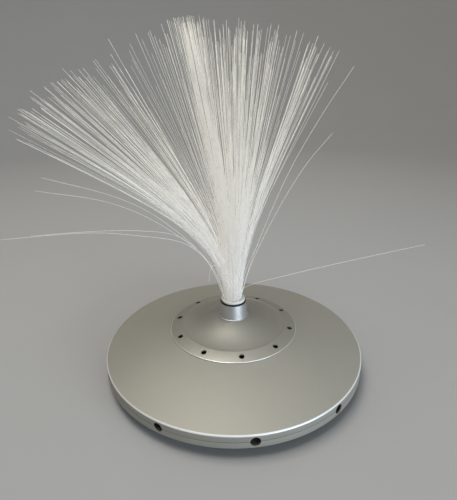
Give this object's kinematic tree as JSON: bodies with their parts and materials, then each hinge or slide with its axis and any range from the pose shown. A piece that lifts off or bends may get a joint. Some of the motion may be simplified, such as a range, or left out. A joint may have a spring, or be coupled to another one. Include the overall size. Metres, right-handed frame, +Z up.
{
  "type": "fiber optic lamp",
  "caption": "Free-standing fiber optic lamp: shallow double-dish aluminium base with vent holes, raised vented cap, tapered neck and a wide spray of clear fibers.",
  "frame": {"origin": "on the table, under the centre of the neck and midway across the fiber spray", "axes": "+Z up along the neck, the front of the lamp towards -Y, +X to the right seen from the front"},
  "size_m": [0.4751, 0.3065, 0.3913],
  "materials": {
    "spun_aluminium": "satin, spun",
    "pressed_aluminium": "satin",
    "polished_aluminium": "polished",
    "bright_aluminium": "bright",
    "zinc_steel": "zinc plated",
    "core_steel": "varnished stack of plates",
    "black_plastic": "glossy",
    "white_plastic": "glossy",
    "terminal_plastic": "matt",
    "coil_tape": "wound and taped",
    "ceramic": "unglazed ceramic",
    "clear_fiber": "clear drawn plastic",
    "potted_fiber": "fibres potted in clear resin",
    "lamp_glass": "clear quartz",
    "red_filter": "tinted, clear",
    "amber_filter": "tinted, clear",
    "green_filter": "tinted, clear",
    "blue_filter": "tinted, clear",
    "rubber": "matt"
  },
  "bodies": {
    "base": {"upper_shell": "spun_aluminium", "lower_shell": "spun_aluminium", "vent_cap": "pressed_aluminium", "neck_sleeve": "polished_aluminium", "neck_nut": "zinc_steel", "motor_can": "zinc_steel", "motor_plate": "zinc_steel", "motor_bracket": "zinc_steel", "motor_screws": "zinc_steel", "lamp_bridge": "zinc_steel", "lamp_shield": "bright_aluminium", "lamp_socket": "ceramic", "halogen_capsule": "lamp_glass", "transformer_core": "core_steel", "transformer_coil": "coil_tape", "terminal_block": "terminal_plastic", "rubber_feet": "rubber", "shell_tabs": "zinc_steel", "shell_screws": "zinc_steel", "cap_clamps": "zinc_steel", "cap_nuts": "zinc_steel", "cap_studs": "zinc_steel", "cord_bush": "black_plastic"},
    "wheel": {"wheel_hub": "white_plastic", "filter_red": "red_filter", "filter_amber": "amber_filter", "filter_green": "green_filter", "filter_blue": "blue_filter", "wheel_washer": "zinc_steel", "motor_shaft": "zinc_steel"},
    "ring": {"slip_ring": "black_plastic"},
    "spray": {"ferrule": "white_plastic", "fiber_bundle": "potted_fiber", "fibers_left": "clear_fiber", "fibers_middle": "clear_fiber", "fibers_right": "clear_fiber", "stray_fibers": "clear_fiber"}
  },
  "joints": [
    {"name": "wheel_spin", "type": "hinge", "parent": "base", "child": "wheel", "pos_m": [0, 0.028, 0.0435], "axis": [0, 0, 1], "continuous": true},
    {"name": "spray_turn", "type": "hinge", "parent": "base", "child": "ring", "pos_m": [0, 0, 0.08], "axis": [0, 0, 1], "continuous": true},
    {"name": "spray_lift", "type": "slide", "parent": "ring", "child": "spray", "axis": [0, 0, 1], "range_m": [0, 0.032]}
  ]
}
